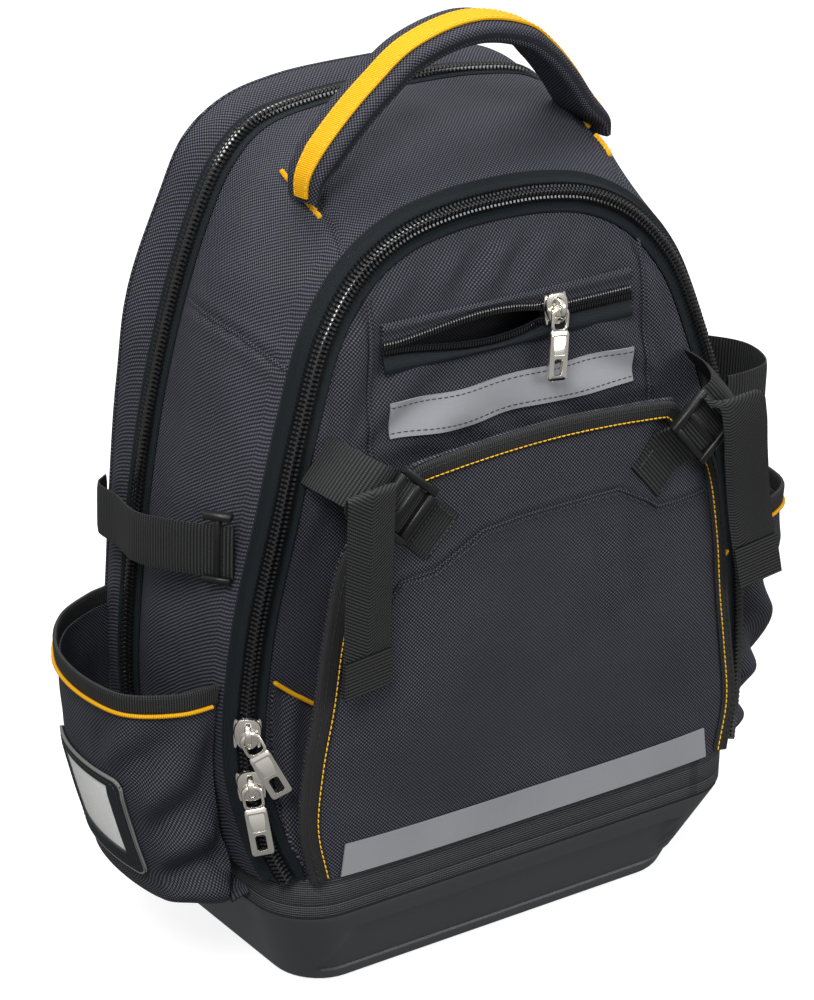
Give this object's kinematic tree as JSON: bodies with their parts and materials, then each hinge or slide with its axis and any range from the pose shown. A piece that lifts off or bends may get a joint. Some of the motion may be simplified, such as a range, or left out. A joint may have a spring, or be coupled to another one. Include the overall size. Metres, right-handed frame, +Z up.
{
  "type": "tool backpack",
  "caption": "Soft tool backpack on a moulded base tray, with zipped compartments, side pockets, an open tool pocket, carrying handle and padded shoulder straps.",
  "frame": {"origin": "centre of the base tray's flat underside", "axes": "+Z up, the front with the tool pocket faces -Y, the wearer's back is at +Y"},
  "size_m": [0.401, 0.2193, 0.4485],
  "materials": {
    "cloth": "coarse ballistic weave, matt",
    "webbing": "ribbed webbing",
    "zip_tape": "fine zip tape",
    "zip_coil": "glossy moulded coil",
    "black_plastic": "moulded, satin",
    "tray": "moulded, fine texture",
    "metal": "polished",
    "yellow": "woven piping",
    "reflective": "reflective coating",
    "window": "soft clear sheet",
    "card": "matt"
  },
  "bodies": {
    "bag": {"base_tray": "tray", "base_band": "webbing", "main_gusset": "cloth", "rear_gusset": "cloth", "front_zip_tape": "zip_tape", "front_zip_coil": "zip_coil", "main_zip_tape": "zip_tape", "main_zip_coil": "zip_coil", "main_slider": "metal", "front_panel": "cloth", "back_panel": "cloth", "back_pad": "cloth", "zip_pocket_back": "cloth", "pocket_zip_upper": "zip_tape", "pocket_zip_lower": "zip_tape", "reflective_tape": "reflective", "inner_pocket": "cloth", "left_inner_piping": "yellow", "right_inner_piping": "yellow", "tool_flap": "cloth", "left_flap_pleat": "cloth", "right_flap_pleat": "cloth", "flap_binding": "webbing", "reflective_strip": "reflective", "left_pocket": "cloth", "left_pocket_hem": "webbing", "left_pocket_piping": "yellow", "left_side_strap": "webbing", "left_tab": "webbing", "left_buckle": "black_plastic", "left_front_strap": "webbing", "left_strap_tail": "webbing", "left_shoulder_strap": "cloth", "left_strap_end": "webbing", "left_strap_lock": "black_plastic", "right_pocket": "cloth", "right_pocket_hem": "webbing", "right_pocket_piping": "yellow", "right_side_strap": "webbing", "right_tab": "webbing", "right_buckle": "black_plastic", "right_front_strap": "webbing", "right_strap_tail": "webbing", "right_shoulder_strap": "cloth", "right_strap_end": "webbing", "right_strap_lock": "black_plastic", "left_triglide": "black_plastic", "id_card": "card", "id_window": "window", "id_frame": "webbing", "handle_grip": "webbing", "handle_strip": "yellow", "upper_slider": "metal", "lower_slider": "metal", "pocket_slider": "metal"},
    "upper_pull": {"upper_pull": "metal"},
    "lower_pull": {"lower_pull": "metal"},
    "pocket_pull": {"pocket_pull": "metal"}
  },
  "joints": [
    {"name": "upper_pull_hinge", "type": "hinge", "parent": "bag", "child": "upper_pull", "pos_m": [-0.14751, -0.06843, 0.14662], "axis": [-0.7754, 0.4004, -0.4883], "range_deg": [0, 150]},
    {"name": "lower_pull_hinge", "type": "hinge", "parent": "bag", "child": "lower_pull", "pos_m": [-0.14729, -0.07138, 0.12157], "axis": [-0.8518, 0.492, -0.1797], "range_deg": [0, 135]},
    {"name": "pocket_pull_hinge", "type": "hinge", "parent": "bag", "child": "pocket_pull", "pos_m": [0.023, -0.06325, 0.3152], "axis": [-0.9903, 0.0206, 0.1376], "range_deg": [0, 150]}
  ]
}
